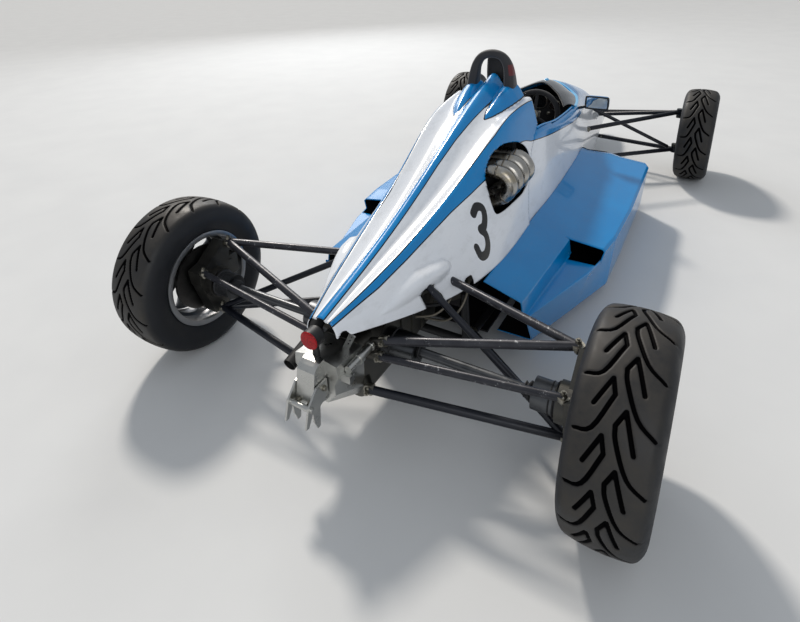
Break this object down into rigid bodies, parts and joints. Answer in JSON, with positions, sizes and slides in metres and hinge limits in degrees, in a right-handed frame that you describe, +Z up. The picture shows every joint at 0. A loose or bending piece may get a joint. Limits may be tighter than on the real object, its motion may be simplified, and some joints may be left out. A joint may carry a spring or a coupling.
{
  "type": "open wheel racing car",
  "caption": "Wingless single-seat racing car with open wheels, hollow engine cover, side ducts, tubular suspension and a rear engine with a gearbox at the tail.",
  "frame": {"origin": "on the ground under the middle of the car's length and width", "axes": "+Z up, -Y towards the nose, +X to the driver's left"},
  "size_m": [1.7384, 3.71, 0.9939],
  "materials": {
    "white_paint": "gloss",
    "blue_paint": "gloss",
    "black_tube": "satin",
    "frame_paint": "satin",
    "cast_alloy": "satin",
    "rim_alloy": "satin",
    "brake_iron": "satin",
    "bright_steel": "satin",
    "tyre_rubber": "matte",
    "screen": "gloss",
    "black_plastic": "matte",
    "seat_shell": "matte",
    "pad_cover": "matte",
    "lamp_red": "gloss",
    "hoop_wrap": "matte",
    "radiator": "matte"
  },
  "bodies": {
    "chassis": {"chassis_frame": "frame_paint", "nose_cone": "white_paint", "cockpit_surround": "white_paint", "engine_cover": "white_paint", "sidepod_left": "blue_paint", "sidepod_right": "blue_paint", "radiator_cores": "radiator", "roll_hoop": "hoop_wrap", "head_rest": "pad_cover", "seat": "seat_shell", "dash_panel": "black_plastic", "windscreen": "screen", "mirrors": "blue_paint", "engine_block": "brake_iron", "gearbox_case": "cast_alloy", "gearbox_tail": "cast_alloy", "rear_light": "lamp_red", "exhaust_headers": "bright_steel", "exhaust_tailpipe": "frame_paint", "rear_uprights": "cast_alloy", "rear_upper_arms": "black_tube", "rear_lower_arms": "black_tube", "rear_toe_links": "black_tube", "rear_pushrods": "black_tube", "front_upper_arms": "black_tube", "front_lower_arms": "black_tube", "front_pushrods": "black_tube", "steering_rods": "black_tube"},
    "front_left_knuckle": {"front_left_knuckle": "cast_alloy"},
    "front_right_knuckle": {"front_right_knuckle": "cast_alloy"},
    "rear_left_wheel": {"rear_left_tyre": "tyre_rubber", "rear_left_rim": "rim_alloy", "rear_left_brake_disc": "brake_iron", "rear_left_driveshaft": "bright_steel"},
    "rear_right_wheel": {"rear_right_tyre": "tyre_rubber", "rear_right_rim": "rim_alloy", "rear_right_brake_disc": "brake_iron", "rear_right_driveshaft": "bright_steel"},
    "front_left_wheel": {"front_left_tyre": "tyre_rubber", "front_left_rim": "rim_alloy", "front_left_brake_disc": "brake_iron"},
    "front_right_wheel": {"front_right_tyre": "tyre_rubber", "front_right_rim": "rim_alloy", "front_right_brake_disc": "brake_iron"},
    "steering_wheel": {"steering_wheel": "black_plastic"}
  },
  "joints": [
    {"name": "rear_left_wheel_spin", "type": "hinge", "parent": "chassis", "child": "rear_left_wheel", "pos_m": [0.77, 1.52, 0.286], "axis": [1, 0, 0], "continuous": true},
    {"name": "rear_right_wheel_spin", "type": "hinge", "parent": "chassis", "child": "rear_right_wheel", "pos_m": [-0.77, 1.52, 0.286], "axis": [1, 0, 0], "continuous": true},
    {"name": "front_left_steer", "type": "hinge", "parent": "chassis", "child": "front_left_knuckle", "pos_m": [0.656, -1.05, 0.278], "axis": [0, 0, 1], "range_deg": [-18, 18]},
    {"name": "front_left_wheel_spin", "type": "hinge", "parent": "front_left_knuckle", "child": "front_left_wheel", "pos_m": [0.765, -1.05, 0.278], "axis": [1, 0, 0], "continuous": true},
    {"name": "front_right_steer", "type": "hinge", "parent": "chassis", "child": "front_right_knuckle", "pos_m": [-0.656, -1.05, 0.278], "axis": [0, 0, 1], "range_deg": [-18, 18]},
    {"name": "front_right_wheel_spin", "type": "hinge", "parent": "front_right_knuckle", "child": "front_right_wheel", "pos_m": [-0.765, -1.05, 0.278], "axis": [1, 0, 0], "continuous": true},
    {"name": "steering_wheel_turn", "type": "hinge", "parent": "chassis", "child": "steering_wheel", "pos_m": [0, -0.18, 0.545], "axis": [0, 0.9272, 0.3746], "range_deg": [-180, 180]}
  ],
  "couplings": [
    {"joint": "front_right_steer", "follows": "front_left_steer", "ratio": 1},
    {"joint": "steering_wheel_turn", "follows": "front_left_steer", "ratio": 10}
  ]
}
